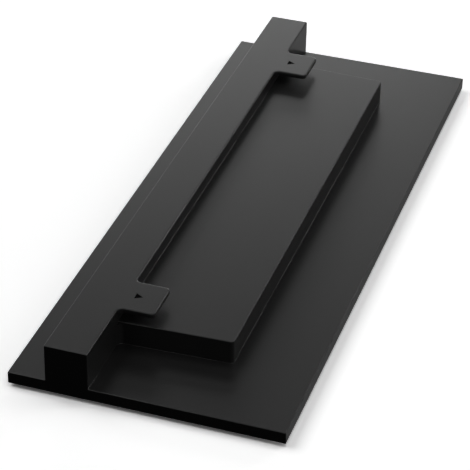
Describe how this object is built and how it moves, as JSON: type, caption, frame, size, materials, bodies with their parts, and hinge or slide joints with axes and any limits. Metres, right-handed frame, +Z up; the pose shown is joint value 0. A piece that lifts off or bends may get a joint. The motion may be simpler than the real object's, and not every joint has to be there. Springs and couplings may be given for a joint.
{
  "type": "console vertical stand",
  "caption": "Flat black plastic stand that holds a slim games console upright on its side: a long rail, a raised platform beside it and flat tabs that reach over the platform.",
  "frame": {"origin": "on the surface that the feet stand on, under the middle of the plate", "axes": "+Z up; +Y along the stand; +X across it, from the rail's side to the open side"},
  "size_m": [0.09, 0.23, 0.0185],
  "materials": {
    "black_plastic": "black ABS with a fine, even moulded texture",
    "foot_rubber": "soft black rubber"
  },
  "bodies": {
    "root": {"stand_body": "black_plastic", "foot_front_left": "foot_rubber", "foot_front_right": "foot_rubber", "foot_rear_left": "foot_rubber", "foot_rear_right": "foot_rubber"}
  },
  "joints": []
}
